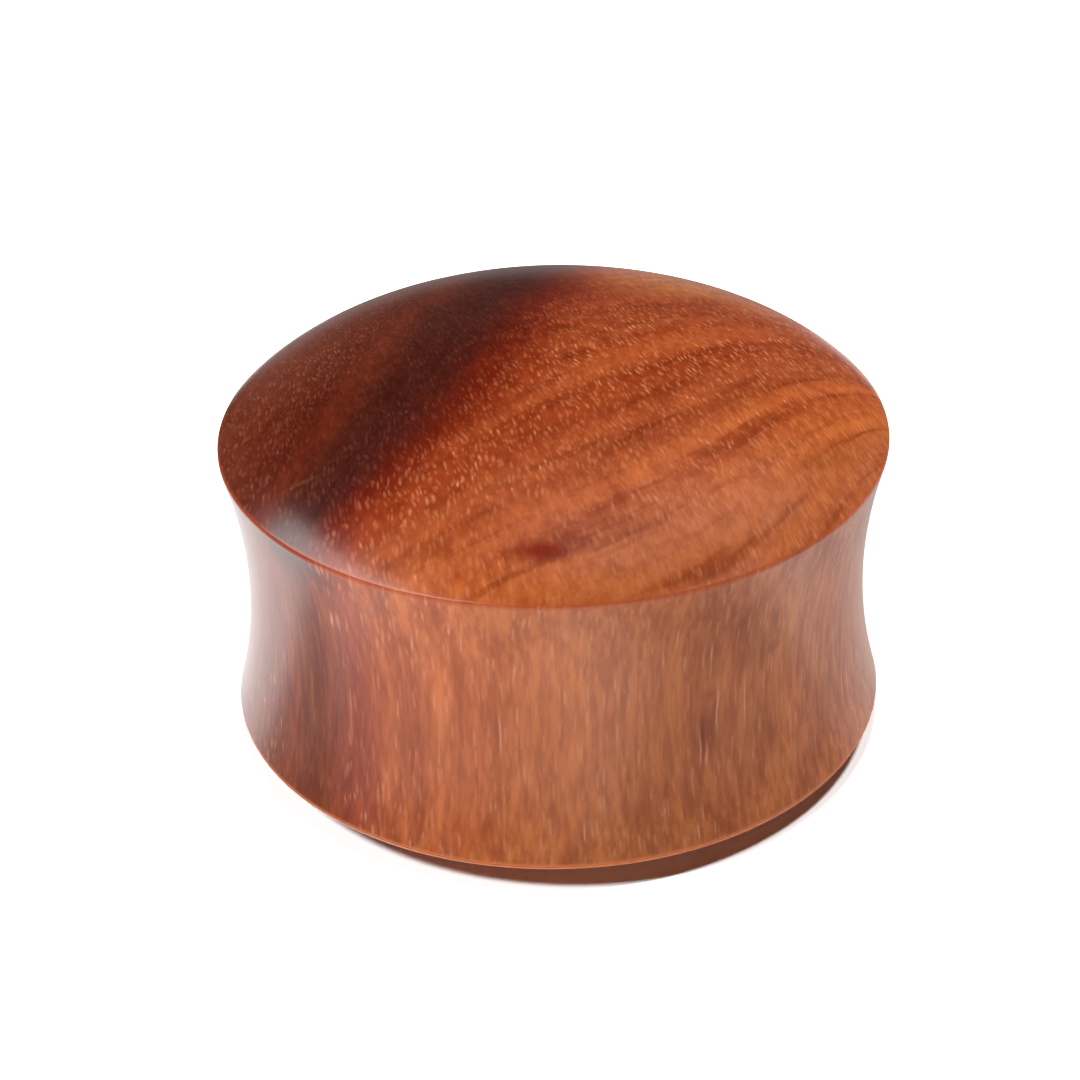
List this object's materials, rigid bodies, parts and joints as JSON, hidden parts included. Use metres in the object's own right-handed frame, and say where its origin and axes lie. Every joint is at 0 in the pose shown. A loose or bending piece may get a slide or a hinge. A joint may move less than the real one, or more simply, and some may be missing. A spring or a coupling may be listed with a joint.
{
  "type": "wooden ear plug gauge",
  "caption": "Solid turned wood ear plug with a hollow waist between two flares, a domed face and a shallow back with a flat seat.",
  "frame": {"origin": "centre of the flat seat in the middle of the back, on the plug's axis", "axes": "+Z along the plug's axis, from the back towards the domed face"},
  "size_m": [0.027, 0.027, 0.0172],
  "materials": {
    "oiled_wood": "oiled satin, red-brown heartwood with a dark streak"
  },
  "bodies": {
    "root": {"ear_plug": "oiled_wood"}
  },
  "joints": []
}
